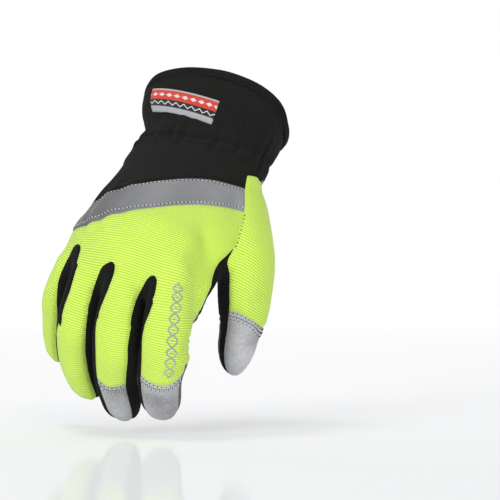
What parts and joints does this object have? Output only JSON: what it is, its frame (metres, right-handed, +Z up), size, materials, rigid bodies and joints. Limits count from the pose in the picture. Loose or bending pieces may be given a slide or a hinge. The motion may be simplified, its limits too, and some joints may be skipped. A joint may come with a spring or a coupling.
{
  "type": "work glove",
  "caption": "Fluorescent dexterity work glove for a right hand, filled as if worn: ribbed knit back, grey reflective band and fingertips, quilted palm, stretch cuff.",
  "frame": {"origin": "middle of the wrist, inside the glove", "axes": "+Z up with the fingers hanging down, -Y towards the back of the glove, +X towards the thumb"},
  "size_m": [0.1382, 0.1151, 0.1966],
  "materials": {
    "yellow_knit": "ribbed matt knit, fluorescent yellow-green",
    "reflective_tape": "satin silver tape",
    "reflective_cloth": "satin silver cloth",
    "black_knit": "matt knit",
    "palm_suede": "matt synthetic suede, quilted",
    "smooth_pad": "satin smooth synthetic leather",
    "cuff_knit": "matt ribbed stretch knit",
    "binding_tape": "matt folded tape",
    "patch_weave": "satin woven patch in red, black and silver",
    "tab_webbing": "plain pale webbing"
  },
  "bodies": {
    "root": {"back_panel": "yellow_knit", "thumb_back": "yellow_knit", "reflective_band": "reflective_tape", "index_tip": "reflective_cloth", "middle_tip": "reflective_cloth", "thumb_tip": "reflective_cloth", "strip_index_middle": "black_knit", "strip_middle_ring": "black_knit", "strip_ring_little": "black_knit", "web_gusset": "black_knit", "palm_panel": "palm_suede", "thumb_front": "palm_suede", "index_pad": "smooth_pad", "thumb_pad": "smooth_pad", "cuff": "cuff_knit", "cuff_binding": "binding_tape", "woven_patch": "patch_weave", "pull_tab": "tab_webbing"}
  },
  "joints": []
}
